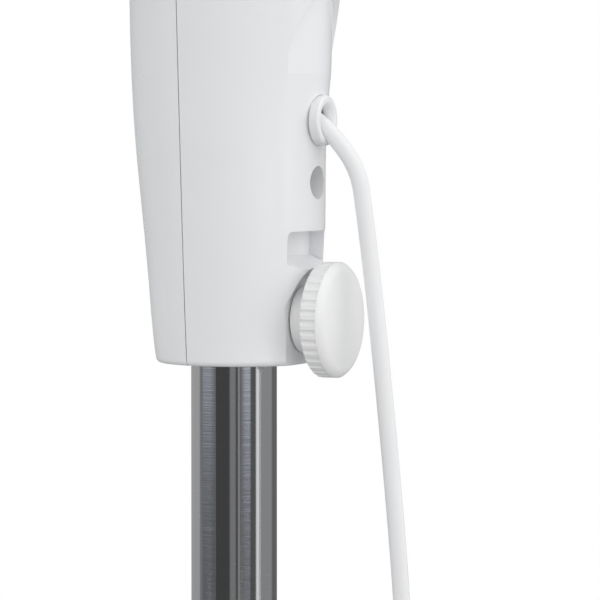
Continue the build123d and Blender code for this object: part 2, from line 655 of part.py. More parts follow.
# cord: its run inside the housing, down to the base, over its rim and into the coil behind it
COIL_PITCH = 5.15            # turns lie one cord's width apart
COIL_MID_R = 30.0
COIL_HALF = COIL_PITCH + 0.05
COIL_X = -27.5
COIL_Y = 262.0
COIL_BOTTOM = 0.6
COIL_LOW = COIL_BOTTOM + CORD_R
COIL_HIGH = COIL_LOW + COIL_PITCH
TIE_THICK = 0.55
CORD_SPLIT = (0, 56.6, 452.0)
CORD_UPPER = [
    (0, 13.5, hz(78.2)),
    (0, 38.0, hz(64.6)),
    (0, 43.8, hz(36.0)),
    (0, 49.4, hz(-17.0)),
    (0, 54.0, hz(-76.0)),
    (0, 55.8, hz(-134.0)),
    CORD_SPLIT,
]
CORD_LOWER = [
    CORD_SPLIT,
    (0, 57.5, 394.0),
    (0, 59.6, 336.0),
    (0, 63.0, 279.0),
    (-0.8, 68.0, 222.0),
    (-2.6, 75.5, 166.0),
    (-5.0, 86.5, 112.0),
    (-8.0, 101.0, 70.0),
    (-10.0, 123.0, 42.5),
    (-9.5, 150.0, 32.0),
    (-7.5, 178.0, 23.5),
    (-4.0, 200.0, 14.5),
    (0.5, 216.5, 6.2),
    (4.0, 230.0, 3.3),
    (5.1, 243.4, COIL_LOW),
]
PLUG_BACK = (-83.0, 265.2, 7.0)
PLUG_DIRECTION = (-0.8, -0.6, 0.0)
CORD_TAIL = [
    (-60.5, 280.6, COIL_HIGH),
    (-72.0, 273.4, 7.3),
    PLUG_BACK,
]


def corner_radii(points):
    """Radius at each corner of a route: as large as its two runs allow."""
    corners = [Vector(*p) for p in points]
    radii = []
    for before, here, after in zip(corners, corners[1:], corners[2:]):
        turn = radians((here - before).get_angle(after - here))
        shorter = min((here - before).length, (after - here).length)
        radii.append(0.45 * shorter / tan(turn / 2))
    return radii


def cord_tube(points, name):
    """Plain round tube along a route of straight runs joined by tangent arcs."""
    radii = corner_radii(points)
    with BuildPart() as tube:
        with BuildLine() as route:
            FilletPolyline(*points, radius=radii)
        with BuildSketch(Plane(origin=points[0], z_dir=route.wire() % 0)):
            Circle(CORD_R)
        sweep()
    length = route.wire().length
    print(name, "length", round(length, 1), "radii", [round(r) for r in radii])
    print(name, "volume", round(tube.part.volume), "section x length", round(pi * CORD_R**2 * length))
    return tube.part


with BuildPart() as cord_coil:
    with BuildSketch(Plane.XY.offset(COIL_BOTTOM)):
        with Locations((COIL_X, COIL_Y)):
            Circle(COIL_MID_R + COIL_HALF)
            Circle(COIL_MID_R - COIL_HALF, mode=Mode.SUBTRACT)
    extrude(amount=2 * COIL_HALF)
    fillet(cord_coil.edges().filter_by(GeomType.CIRCLE), radius=2.2)
save(cord_coil.part, "cord_coil")

with BuildPart() as cord_tie:
    with BuildSketch(facing_front(COIL_Y + 4.0, x=COIL_X)):
        with Locations((COIL_MID_R, COIL_BOTTOM + COIL_HALF)):
            RectangleRounded(2 * (COIL_HALF + TIE_THICK), 2 * (COIL_HALF + TIE_THICK), 2.7)
            RectangleRounded(2 * COIL_HALF, 2 * COIL_HALF, 2.2, mode=Mode.SUBTRACT)
    extrude(amount=8.0)
    add(cord_coil.part, mode=Mode.SUBTRACT)
save(cord_tie.part.rotate(Axis((COIL_X, COIL_Y, 0), (0, 0, 1)), -60.0), "cord_tie")

save(cord_tube(CORD_UPPER, "cord_upper"), "cord_upper")
save(cord_tube(CORD_LOWER, "cord_lower"), "cord_lower")
save(cord_tube(CORD_TAIL, "cord_tail"), "cord_tail")

PLUG_WIDTH = 35.3
PLUG_DEPTH = 13.7
PLUG_RELIEF = 16.0
PLUG_LENGTH = 34.0
PIN_R = 2.0
PIN_PITCH = 18.6
PIN_LENGTH = 19.0
plug_plane = Plane(origin=PLUG_BACK, x_dir=(PLUG_DIRECTION[1], -PLUG_DIRECTION[0], 0), z_dir=PLUG_DIRECTION)
with BuildPart() as plug_body:
    with BuildSketch(plug_plane):
        Circle(CORD_R + 0.7)
    with BuildSketch(plug_plane.offset(PLUG_RELIEF)):
        Circle(4.4)
    loft()
    with BuildSketch(plug_plane.offset(PLUG_RELIEF)):
        RectangleRounded(16.0, 11.0, 5.0)
    with BuildSketch(plug_plane.offset(PLUG_RELIEF + 17.0)):
        RectangleRounded(PLUG_WIDTH, PLUG_DEPTH, 5.0)
    loft()
    with BuildSketch(plug_plane.offset(PLUG_RELIEF + 17.0)):
        RectangleRounded(PLUG_WIDTH, PLUG_DEPTH, 5.0)
    extrude(amount=PLUG_LENGTH - 17.0)
save(plug_body.part, "plug_body")

with BuildPart() as plug_pins:
    with BuildSketch(plug_plane.offset(PLUG_RELIEF + PLUG_LENGTH)):
        with Locations((-PIN_PITCH / 2, 0), (PIN_PITCH / 2, 0)):
            Circle(PIN_R)
    extrude(amount=PIN_LENGTH)
save(plug_pins.part, "plug_pins")

# ================================================================ neck and tilt
CHEEK_IN = 9.0
CHEEK_OUT = 15.5
CHEEK_R = 14.0
BRACKET_BASE = 6.0
LUG_R = 13.5
BOLT_R = 4.0
SPINDLE_R = 6.0
SPINDLE_TOP = OSC_BASE_Z + 24.0
with BuildPart() as tilt_bracket:
    with BuildSketch(Plane.XY.offset(hz(HOUSING_TOP))):
        Ellipse(17.2, 18.4)
    extrude(amount=BRACKET_BASE)
    fillet(tilt_bracket.edges().group_by(Axis.Z)[-1], radius=2.0)
    with BuildSketch(Plane.YZ.offset(-CHEEK_OUT)):
        with Locations((0, TILT_Z)):
            Circle(CHEEK_R)
        with Locations((0, (TILT_Z + hz(HOUSING_TOP) + 2.0) / 2)):
            Rectangle(2 * CHEEK_R, TILT_Z - hz(HOUSING_TOP) - 2.0)
    extrude(amount=2 * CHEEK_OUT)
    with BuildSketch(Plane.YZ.offset(-CHEEK_IN)):
        with Locations((0, TILT_Z + 10.0)):
            Rectangle(60.0, 2 * (TILT_Z + 10.0 - hz(HOUSING_TOP) - BRACKET_BASE))
    extrude(amount=2 * CHEEK_IN, mode=Mode.SUBTRACT)
    with BuildSketch(Plane.YZ.offset(-CHEEK_OUT)):
        with Locations((0, TILT_Z)):
            Circle(BOLT_R + RUN)
    extrude(amount=2 * CHEEK_OUT, mode=Mode.SUBTRACT)
save(tilt_bracket.part, "tilt_bracket")

with BuildPart() as neck:
    with BuildSketch(Plane.YZ.offset(-CHEEK_IN + 0.15)):
        with Locations((0, TILT_Z)):
            Circle(LUG_R)
    extrude(amount=2 * (CHEEK_IN - 0.15))
    with BuildSketch(Plane.XY.offset(TILT_Z)):
        RectangleRounded(2 * (CHEEK_IN - 0.15), 24.0, 3.0)
    extrude(amount=OSC_BASE_Z - TILT_Z - 2.0)
    with BuildSketch(Plane.XY.offset(OSC_BASE_Z - 4.5)):
        Circle(17.0)
    extrude(amount=4.5)
    with BuildSketch(Plane.XY.offset(OSC_BASE_Z)):
        Circle(SPINDLE_R)
    extrude(amount=SPINDLE_TOP - OSC_BASE_Z)
    with BuildSketch(Plane.YZ.offset(-CHEEK_IN)):
        with Locations((0, TILT_Z)):
            Circle(BOLT_R + RUN)
    extrude(amount=2 * CHEEK_IN, mode=Mode.SUBTRACT)
save(neck.part, "neck")

with BuildPart() as tilt_bolt:
    with BuildSketch(Plane.YZ.offset(-CHEEK_OUT - 4.5)):
        with Locations((0, TILT_Z)):
            RegularPolygon(7.5, 6)
    extrude(amount=4.5)
    with BuildSketch(Plane.YZ.offset(-CHEEK_OUT)):
        with Locations((0, TILT_Z)):
            Circle(BOLT_R)
    extrude(amount=2 * CHEEK_OUT + 12.0)
save(tilt_bolt.part, "tilt_bolt")

with BuildPart() as tilt_knob:
    with BuildSketch(Plane.YZ.offset(CHEEK_OUT + GAP)):
        with Locations((0, TILT_Z)):
            Circle(9.0)
    extrude(amount=3.0)
    with BuildSketch(Plane.YZ.offset(CHEEK_OUT + GAP + 3.0)):
        with Locations((0, TILT_Z)):
            Circle(14.0)
    extrude(amount=13.0)
    fillet(tilt_knob.edges().group_by(Axis.X)[-1], radius=3.0)
    with BuildSketch(Plane.YZ.offset(CHEEK_OUT + GAP + 2.0)):
        with Locations((0, TILT_Z)):
            with PolarLocations(18.5, 8):
                Circle(6.0)
    extrude(amount=20.0, mode=Mode.SUBTRACT)
    with BuildSketch(Plane.YZ.offset(CHEEK_OUT)):
        with Locations((0, TILT_Z)):
            Circle(BOLT_R + RUN)
    extrude(amount=12.5, mode=Mode.SUBTRACT)
save(tilt_knob.part, "tilt_knob")

# ================================================================ motor head
MOTOR_R = 56.0
FRAME_FRONT_Y = -10.0
FRAME_BACK_Y = -5.0
CORE_FRONT_Y = -46.0
CORE_BACK_Y = -20.0
SHAFT_R = 4.0
BEARING_R = 8.0
COVER_FRONT_Y = -58.0
COVER_SPLIT_Y = -50.0
HUB_TIP_Y = -66.0
GUARD_HUB_R = 20.0
REAR_Y = 58.0                # back of the motor cover


def on_motor(y):
    """Sketch plane facing the back, centred on the blade axis."""
    return across(y, z=MOTOR_Z)


def ring(y_front, y_back, outer, inner):
    """Plain ring on the blade axis."""
    with BuildPart() as body:
        with BuildSketch(on_motor(y_front)):
            Circle(outer)
            if inner > 0:
                Circle(inner, mode=Mode.SUBTRACT)
        extrude(amount=y_back - y_front)
    return body.part


with BuildPart() as motor_frame:
    add(ring(FRAME_FRONT_Y, FRAME_BACK_Y, 46.0, BEARING_R))
    with BuildSketch(Plane.XZ.offset(-FRAME_BACK_Y)):
        with Locations((0, MOTOR_Z - 4.0)):
            RectangleRounded(38.0, 58.0, 5.0)
    extrude(amount=-31.0)
    with BuildSketch(Plane.XY.offset(OSC_BASE_Z + 0.1)):
        Circle(13.0)
    extrude(amount=MOTOR_Z - OSC_BASE_Z - 10.0)
    with BuildSketch(Plane.XY.offset(OSC_BASE_Z)):
        Circle(SPINDLE_R + RUN)
    extrude(amount=SPINDLE_TOP - OSC_BASE_Z + 0.5, mode=Mode.SUBTRACT)
    with BuildSketch(on_motor(FRAME_FRONT_Y - 4.0)):
        Circle(SHAFT_R + 0.5)
    extrude(amount=20.0, mode=Mode.SUBTRACT)
    with BuildSketch(on_motor(FRAME_FRONT_Y - 8.0)):
        Circle(46.0)
    extrude(amount=8.0, mode=Mode.SUBTRACT)
    with BuildSketch(Plane.XY.offset(MOTOR_Z + 10.0)):
        with Locations((0, 12.0)):
            Circle(4.3)
    extrude(amount=20.0, mode=Mode.SUBTRACT)
save(motor_frame.part, "motor_frame")

save(ring(CORE_FRONT_Y, CORE_BACK_Y, 44.0, 22.4), "stator_core")

with BuildPart() as stator_windings:
    add(ring(CORE_FRONT_Y - 8.0, CORE_FRONT_Y, 38.0, 25.0))
    add(ring(CORE_BACK_Y, CORE_BACK_Y + 8.0, 38.0, 25.0))
save(stator_windings.part, "stator_windings")

with BuildPart() as motor_bearings:
    add(ring(HUB_TIP_Y + 2.0, COVER_FRONT_Y + 1.0, BEARING_R, SHAFT_R + RUN))
    add(ring(FRAME_FRONT_Y, FRAME_BACK_Y, BEARING_R, SHAFT_R + RUN))
save(motor_bearings.part, "motor_bearings")

save(ring(CORE_FRONT_Y, CORE_BACK_Y, 22.0, SHAFT_R), "motor_rotor")

BLADE_HUB_R = 28.0
BLADE_FRONT_Y = BLADE_Y - 20.0
BLADE_BACK_Y = BLADE_Y + 16.0
with BuildPart() as motor_shaft:
    with BuildSketch(on_motor(BLADE_FRONT_Y - 8.0)):
        Circle(SHAFT_R)
    extrude(amount=FRAME_BACK_Y + 8.0 - BLADE_FRONT_Y + 8.0)
    chamfer(motor_shaft.edges().group_by(Axis.Y)[0], length=0.8)
save(motor_shaft.part, "motor_shaft")

with BuildPart() as motor_front_cover:
    add(ring(COVER_FRONT_Y, COVER_FRONT_Y + 2.5, MOTOR_R, SHAFT_R + 1.0))
    add(ring(COVER_FRONT_Y, COVER_SPLIT_Y - 0.1, MOTOR_R, MOTOR_R - 2.2))
    add(ring(HUB_TIP_Y, COVER_FRONT_Y + 2.5, GUARD_HUB_R, SHAFT_R + 1.0))
    with BuildSketch(on_motor(HUB_TIP_Y + 2.0)):
        Circle(BEARING_R)
    extrude(amount=5.0 + COVER_FRONT_Y - HUB_TIP_Y, mode=Mode.SUBTRACT)
    with BuildSketch(on_motor(COVER_FRONT_Y - 1.0)):
        with PolarLocations(46.0, 24):
            SlotOverall(11.0, 3.0)
    extrude(amount=5.0, mode=Mode.SUBTRACT)
save(motor_front_cover.part, "motor_front_cover")


DOME_R = 36.0                # rounding of the rear cover's back edge
with BuildPart() as cover_hollow:
    add(ring(COVER_SPLIT_Y, REAR_Y - WALL, MOTOR_R - WALL, 0.0))
    fillet(cover_hollow.edges().group_by(Axis.Y)[-1], radius=DOME_R - WALL)
with BuildPart() as motor_rear_cover:
    add(ring(COVER_SPLIT_Y, REAR_Y, MOTOR_R, 0.0))
    fillet(motor_rear_cover.edges().group_by(Axis.Y)[-1], radius=DOME_R)
    add(cover_hollow.part, mode=Mode.SUBTRACT)
    with BuildSketch(on_motor(20.0)):
        with PolarLocations(20.0, 18):
            SlotOverall(14.0, 3.0)
        with PolarLocations(35.0, 30):
            SlotOverall(11.0, 3.0)
    extrude(amount=60.0, mode=Mode.SUBTRACT)
    with BuildSketch(Plane.XY.offset(OSC_BASE_Z)):
        Circle(18.5)
    extrude(amount=40.0, mode=Mode.SUBTRACT)
    with BuildSketch(Plane.XY.offset(MOTOR_Z + 40.0)):
        with Locations((0, 12.0)):
            Circle(4.3)
    extrude(amount=40.0, mode=Mode.SUBTRACT)
save(motor_rear_cover.part, "motor_rear_cover")

with BuildPart() as swing_knob:
    with BuildSketch(Plane.XY.offset(MOTOR_Z + 14.0)):
        with Locations((0, 12.0)):
            Circle(4.0)
    extrude(amount=MOTOR_R - 12.0)
    with BuildSketch(Plane.XY.offset(MOTOR_Z + MOTOR_R + 1.0)):
        with Locations((0, 12.0)):
            Circle(8.5)
    extrude(amount=13.0)
    fillet(swing_knob.edges().group_by(Axis.Z)[-1], radius=2.5)
    with BuildSketch(Plane.XY.offset(MOTOR_Z + MOTOR_R + 4.0)):
        with Locations((0, 12.0)):
            with PolarLocations(9.3, 14):
                Circle(1.2)
    extrude(amount=8.0, mode=Mode.SUBTRACT)
save(swing_knob.part, "swing_knob")

# ---------------------------------------------------------------- guards
REAR_WIRE_Y = -61.6
REAR_FLAT_Y = -66.0
FRONT_WIRE_Y = -152.0
WELD_GAP = 0.35              # fine gap between wires and rings, in place of the weld
WIRE_END_R = GUARD_R - RING_R - WIRE_R - WELD_GAP
RIM_HALF = 0.2               # half the gap between the two rim rings
BADGE_R = 44.0
rear_rim_y = RIM_Y + RIM_HALF + RING_R
front_rim_y = RIM_Y - RIM_HALF - RING_R


def guard_point(r, y):
    """Point of a guard wire in the upright plane through the blade axis."""
    return (0, y, MOTOR_Z + r)


def wire_cage(points, radii):
    """One bent wire swept along the points and repeated around the blade axis."""
    with BuildPart() as wire:
        with BuildLine() as bends:
            FilletPolyline(*points, radius=radii)
        with BuildSketch(Plane(origin=points[0], z_dir=bends.wire() % 0)):
            Circle(WIRE_R)
        sweep()
    wires = [wire.part.rotate(MOTOR_AXIS, i * 360.0 / WIRES) for i in range(WIRES)]
    return Compound(children=wires)


def round_ring(radius, y, thick=RING_R):
    """Ring of round wire on the blade axis."""
    with BuildPart() as body:
        with BuildSketch(Plane.YZ):
            with Locations((y, MOTOR_Z + radius)):
                Circle(thick)
        revolve(axis=MOTOR_AXIS)
    return body.part


save(ring(REAR_WIRE_Y + WIRE_R + WELD_GAP, COVER_FRONT_Y - 0.1, 48.0, GUARD_HUB_R + 0.3), "rear_guard_plate")

rear_route = [
    guard_point(45.0, REAR_WIRE_Y),
    guard_point(WIRE_END_R - 8.0, REAR_FLAT_Y),
    guard_point(WIRE_END_R, REAR_FLAT_Y - 10.0),
    guard_point(WIRE_END_R, rear_rim_y - RING_R),
]
save(wire_cage(rear_route, [8.0, 8.0]), "rear_guard_wires")

slope = (REAR_FLAT_Y - REAR_WIRE_Y) / (WIRE_END_R - 8.0 - 45.0)


def rear_wire_y(radius):
    """Middle line of the rear wires at a radius."""
    return REAR_WIRE_Y + slope * (radius - 45.0)


with BuildPart() as rear_guard_rings:
    for radius in (110.0, 160.0):
        add(round_ring(radius, rear_wire_y(radius) + WIRE_R + RING_R + WELD_GAP))
    add(round_ring(GUARD_R, rear_rim_y))
save(rear_guard_rings.part, "rear_guard_rings")

front_route = [
    guard_point(BADGE_R - 5.0, FRONT_WIRE_Y),
    guard_point(120.0, FRONT_WIRE_Y + 5.0),
    guard_point(WIRE_END_R - 14.0, FRONT_WIRE_Y + 24.0),
    guard_point(WIRE_END_R, FRONT_WIRE_Y + 38.0),
    guard_point(WIRE_END_R, front_rim_y + RING_R),
]
save(wire_cage(front_route, [200.0, 16.0, 6.0]), "front_guard_wires")

BADGE_RING_R = BADGE_R + 10.0
badge_ring_y = FRONT_WIRE_Y + 5.0 * (BADGE_RING_R - BADGE_R + 5.0) / (125.0 - BADGE_R)
with BuildPart() as front_guard_rings:
    add(round_ring(BADGE_RING_R, badge_ring_y + WIRE_R + RING_R + WELD_GAP))
    add(round_ring(GUARD_R, front_rim_y))
save(front_guard_rings.part, "front_guard_rings")

BAND_R = GUARD_R + RING_R + WELD_GAP
with BuildPart() as guard_band:
    # channel that holds the two rims together
    with BuildSketch(Plane.YZ):
        with Locations((RIM_Y, MOTOR_Z + (BAND_R + 2.0 + GUARD_R - 1.4) / 2)):
            Rectangle(11.8, BAND_R + 2.0 - GUARD_R + 1.4)
        with Locations((RIM_Y, MOTOR_Z + (BAND_R + GUARD_R - 10.0) / 2)):
            Rectangle(8.2, BAND_R - GUARD_R + 10.0, mode=Mode.SUBTRACT)
    revolve(axis=MOTOR_AXIS)
save(guard_band.part, "guard_band")

with BuildPart() as guard_nut:
    add(ring(HUB_TIP_Y, REAR_WIRE_Y + WIRE_R, 31.0, GUARD_HUB_R + 0.05))
    with BuildSketch(on_motor(HUB_TIP_Y - 1.0)):
        with PolarLocations(31.8, 24):
            Circle(1.8)
    extrude(amount=5.0, mode=Mode.SUBTRACT)
save(guard_nut.part, "guard_nut")

with BuildPart() as guard_badge:
    add(ring(FRONT_WIRE_Y - WIRE_R - 4.3, FRONT_WIRE_Y - WIRE_R - WELD_GAP, BADGE_R, 0.0))
    fillet(guard_badge.edges().group_by(Axis.Y)[0], radius=2.5)
save(guard_badge.part, "guard_badge")

# ---------------------------------------------------------------- blade
BLADES = 5
BLADE_THICK = 2.0
# radius, chord, pitch in degrees
BLADE_SECTIONS = ((24.0, 42.0, 38.0), (80.0, 92.0, 28.0), (140.0, 122.0, 22.0), (196.0, 120.0, 17.0))
with BuildPart() as one_blade:
    for radius, chord, pitch in BLADE_SECTIONS:
        with BuildSketch(Plane(origin=(0, BLADE_Y, MOTOR_Z + radius), x_dir=(1, 0, 0), z_dir=(0, 0, 1))):
            Rectangle(chord, BLADE_THICK, rotation=pitch)
    loft()
blade_disc = ring(BLADE_FRONT_Y - 20.0, BLADE_BACK_Y + 20.0, BLADE_R, BLADE_HUB_R - 2.0)
blade_form = one_blade.part & blade_disc
with BuildPart() as fan_blade:
    add(ring(BLADE_FRONT_Y, BLADE_BACK_Y, BLADE_HUB_R, BLADE_HUB_R - 3.0))
    add(ring(BLADE_FRONT_Y, BLADE_FRONT_Y + 4.0, BLADE_HUB_R, SHAFT_R))
    add(ring(BLADE_FRONT_Y, BLADE_BACK_Y, 9.0, SHAFT_R))
    for i in range(BLADES):
        add(blade_form.rotate(MOTOR_AXIS, i * 360.0 / BLADES))
    fillet(fan_blade.edges().filter_by(GeomType.CIRCLE).group_by(Axis.Y)[0].sort_by(
        SortBy.RADIUS)[-1], radius=3.0)
save(fan_blade.part, "fan_blade")

with BuildPart() as blade_nut:
    with BuildSketch(on_motor(BLADE_FRONT_Y - 14.0)):
        Circle(15.0)
    extrude(amount=14.0)
    fillet(blade_nut.edges().group_by(Axis.Y)[0], radius=6.0)
    with BuildSketch(on_motor(BLADE_FRONT_Y - 8.0)):
        Circle(SHAFT_R)
    extrude(amount=8.0, mode=Mode.SUBTRACT)
save(blade_nut.part, "blade_nut")
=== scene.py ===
"""Looks of a pedestal fan: camera, materials, mains cord, floor and light."""

import math

import bmesh
import bpy
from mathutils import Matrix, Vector
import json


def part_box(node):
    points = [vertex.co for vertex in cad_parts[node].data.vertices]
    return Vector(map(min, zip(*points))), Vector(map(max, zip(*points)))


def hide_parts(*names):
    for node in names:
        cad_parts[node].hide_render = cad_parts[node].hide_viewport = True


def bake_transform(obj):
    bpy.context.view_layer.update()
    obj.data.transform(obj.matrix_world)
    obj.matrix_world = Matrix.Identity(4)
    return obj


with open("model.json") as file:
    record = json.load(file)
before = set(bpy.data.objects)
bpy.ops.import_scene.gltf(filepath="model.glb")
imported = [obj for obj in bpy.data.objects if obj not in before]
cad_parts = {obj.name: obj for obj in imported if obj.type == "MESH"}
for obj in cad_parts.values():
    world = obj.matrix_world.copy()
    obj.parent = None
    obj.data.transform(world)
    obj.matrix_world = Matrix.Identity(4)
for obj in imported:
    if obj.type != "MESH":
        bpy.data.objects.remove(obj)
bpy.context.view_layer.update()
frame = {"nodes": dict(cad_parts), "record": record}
MM = 0.001


foot_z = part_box("rear_housing")[0].z


# ---------------------------------------------------------------- camera
AZIMUTH = 114.0
ELEVATION = 3.2
LENS = 300.0
SENSOR = 36.0
VIEW_WIDTH = 174.4 * MM
RIGHT_OF_POLE = 19.2 * MM
ABOVE_FOOT = 18.0 * MM


def make_camera():
    """Long lens at the back and right of the fan, level with the clamp knob."""
    turn = math.radians(AZIMUTH)
    rise = math.radians(ELEVATION)
    back = Vector((math.sin(turn) * math.cos(rise), -math.cos(turn) * math.cos(rise), math.sin(rise)))
    right = Vector((math.cos(turn), math.sin(turn), 0.0))
    target = right * RIGHT_OF_POLE + Vector((0, 0, foot_z + ABOVE_FOOT))
    data = bpy.data.cameras.new("camera")
    data.lens = LENS
    data.sensor_width = SENSOR
    camera = bpy.data.objects.new("camera", data)
    bpy.context.scene.collection.objects.link(camera)
    camera.location = target + back * (VIEW_WIDTH * LENS / SENSOR)
    camera.rotation_mode = "QUATERNION"
    camera.rotation_quaternion = (-back).to_track_quat("-Z", "Y")
    bpy.context.scene.camera = camera


make_camera()


# ---------------------------------------------------------------- shader maths
class Value:
    """A socket that carries numbers; working on it adds Math nodes."""

    def __init__(self, nodes, socket):
        self.nodes = nodes
        self.socket = socket

    def maths(self, operation, *numbers):
        made = self.nodes.node("ShaderNodeMath", {"operation": operation}, dict(enumerate(numbers)))
        return Value(self.nodes, made.outputs[0])

    def __add__(self, other):
        return self.maths("ADD", self, other)

    def __sub__(self, other):
        return self.maths("SUBTRACT", self, other)

    def __rsub__(self, other):
        return self.maths("SUBTRACT", other, self)

    def __mul__(self, other):
        return self.maths("MULTIPLY", self, other)

    def __truediv__(self, other):
        return self.maths("DIVIDE", self, other)

    __radd__ = __add__
    __rmul__ = __mul__


class Nodes:
    """An empty node tree and the two calls that fill it."""

    def __init__(self, tree):
        self.tree = tree
        self.tree.nodes.clear()

    def node(self, kind, settings=None, sockets=None):
        """Adds a node. Settings come first, a ramp's stops among them, then socket values and links."""
        made = self.tree.nodes.new(kind)
        for name, value in (settings or {}).items():
            if name == "stops":
                ramp = made.color_ramp
                while len(ramp.elements) < len(value):
                    ramp.elements.new(0.5)
                for element, (position, colour) in zip(ramp.elements, value):
                    element.position = position
                    element.color = colour
            else:
                setattr(made, name, value)
        for name, value in (sockets or {}).items():
            self.feed(made.inputs[name], value)
        return made

    def feed(self, socket, value):
        """Gives a socket a link or a plain value."""
        if isinstance(value, Value):
            value = value.socket
        if isinstance(value, bpy.types.NodeSocket):
            self.tree.links.new(value, socket)
        elif hasattr(socket.default_value, "__len__") and len(socket.default_value) == 4 and len(value) == 3:
            socket.default_value = (*value, 1.0)
        else:
            socket.default_value = value

    def along(self, vector):
        """The three numbers of a vector socket."""
        parts = self.node("ShaderNodeSeparateXYZ", {}, {0: vector}).outputs
        return [Value(self, part) for part in parts]


class Finish(Nodes):
    """One material: its shader and the patterns that feed it."""

    def __init__(self, name, **fixed):
        self.material = bpy.data.materials.new(name)
        self.material.use_nodes = True
        super().__init__(self.material.node_tree)
        self.shader = self.node("ShaderNodeBsdfPrincipled", {}, fixed)
        self.node("ShaderNodeOutputMaterial", {}, {"Surface": self.shader.outputs["BSDF"]})
        self.place = self.node("ShaderNodeTexCoord").outputs["Object"]

    def set(self, **sockets):
        """Feeds the shader's own sockets; an underscore stands for a space."""
        for name, value in sockets.items():
            self.feed(self.shader.inputs[name.replace("_", " ")], value)
        return self

    def stretched(self, scale):
        """Object place times a scale along each axis."""
        return self.node("ShaderNodeMapping", {}, {"Vector": self.place, "Scale": scale}).outputs[0]

    def noise(self, scale, detail=3.0, rough=0.55, place=None, warp=0.0):
        """Cloudy pattern from 0 to 1."""
        found = self.node("ShaderNodeTexNoise", {}, {
            "Vector": place or self.place, "Scale": scale, "Detail": detail,
            "Roughness": rough, "Distortion": warp,
        })
        return Value(self, found.outputs["Fac"])

    def cells(self, scale):
        """Distance to the nearest of scattered points."""
        found = self.node("ShaderNodeTexVoronoi", {}, {"Vector": self.place, "Scale": scale})
        return Value(self, found.outputs["Distance"])

    def band(self, value, low, high):
        """0 below low, 1 above high, smooth between."""
        found = self.node("ShaderNodeMapRange", {"interpolation_type": "SMOOTHSTEP"}, {
            "Value": value, "From Min": low, "From Max": high,
        })
        return Value(self, found.outputs[0])

    def mix(self, share, first, second):
        """Colour between two colours."""
        found = self.node("ShaderNodeMix", {"data_type": "RGBA"}, {0: share, 6: first, 7: second})
        return found.outputs[2]

    def bump(self, height, distance, strength=1.0, under=None):
        """Normal raised by a height pattern, distance in metres."""
        sockets = {"Height": height, "Distance": distance, "Strength": strength}
        if under is not None:
            sockets["Normal"] = under
        return self.node("ShaderNodeBump", {}, sockets).outputs[0]


# pattern scales, in clumps a metre
CLOUD = 22.0                 # drift of colour over a moulding
FLOW = 60.0                  # ripples where the plastic flowed
SPARK = 2600.0               # texture of a spark-eroded mould
PEEL = 900.0                 # orange peel of powder paint
CRYSTAL = 700.0              # mottle of zinc


def moulded(name, colour, shade, rough, grain=0.6, coat=0.0):
    """Moulded plastic: faint cloudiness in colour and gloss, fine spark texture and soft flow ripples."""
    made = Finish(name)
    cloud = made.noise(CLOUD, 4.0)
    fine = made.noise(SPARK, 2.0)
    flow = made.noise(FLOW, 2.0, warp=0.6)
    normal = made.bump(fine, 0.00002 * grain, 0.35)
    return made.set(
        Base_Color=made.mix(made.band(cloud, 0.3, 0.75), colour, shade),
        Roughness=rough + (cloud - 0.5) * 0.10 + (fine - 0.5) * 0.05,
        Normal=made.bump(flow, 0.0003, 0.05, normal),
        Coat_Weight=coat,
        Coat_Roughness=0.08,
        IOR=1.5,
    ).material


def enamel(name, colour, shade, rough=0.32):
    """Powder-coated metal with a fine orange-peel surface."""
    made = Finish(name)
    peel = made.noise(PEEL, 2.0)
    cloud = made.noise(12.0, 3.0)
    return made.set(
        Base_Color=made.mix(cloud, colour, shade),
        Roughness=rough + (peel - 0.5) * 0.12,
        Normal=made.bump(peel, 0.00006, 0.25),
        IOR=1.5,
    ).material


def chromed():
    """Bright chromed tube with faint rings left by the drawing and polishing."""
    made = Finish("pole_chrome", Metallic=1.0)
    rings = made.noise(1.0, 5.0, 0.7, made.stretched((60.0, 60.0, 2600.0)))
    coarse = made.noise(1.0, 3.0, 0.6, made.stretched((9.0, 9.0, 420.0)))
    specks = made.band(made.noise(1.0, 2.0, 0.6, made.stretched((300.0, 300.0, 1500.0))), 0.66, 0.74)
    return made.set(
        Base_Color=made.mix(specks * 0.5, (0.61, 0.615, 0.63), (0.80, 0.81, 0.83)),
        Roughness=0.03 + rings * 0.07 + coarse * 0.03,
        Normal=made.bump(rings, 0.00003, 0.30, made.bump(coarse, 0.00006, 0.20)),
    ).material


def plated(name, colour, rough=0.3):
    """Zinc or nickel plate with a faint crystalline mottle."""
    made = Finish(name, Metallic=1.0)
    mottle = made.cells(CRYSTAL)
    grain = made.noise(1800.0, 2.0)
    dull = tuple(c * 0.8 for c in colour)
    return made.set(
        Base_Color=made.mix(mottle, colour, dull),
        Roughness=rough + grain * 0.15,
        Normal=made.bump(grain, 0.00002, 0.3),
    ).material


def rubber(name, colour, rough=0.75):
    """Matt rubber with a dusty bloom."""
    made = Finish(name)
    bloom = made.noise(180.0, 4.0)
    grain = made.noise(1500.0, 2.0)
    pale = tuple(min(1.0, c * 1.5 + 0.01) for c in colour)
    return made.set(
        Base_Color=made.mix(bloom, colour, pale),
        Roughness=rough + (bloom - 0.5) * 0.2,
        Normal=made.bump(grain, 0.0001, 0.4),
    ).material


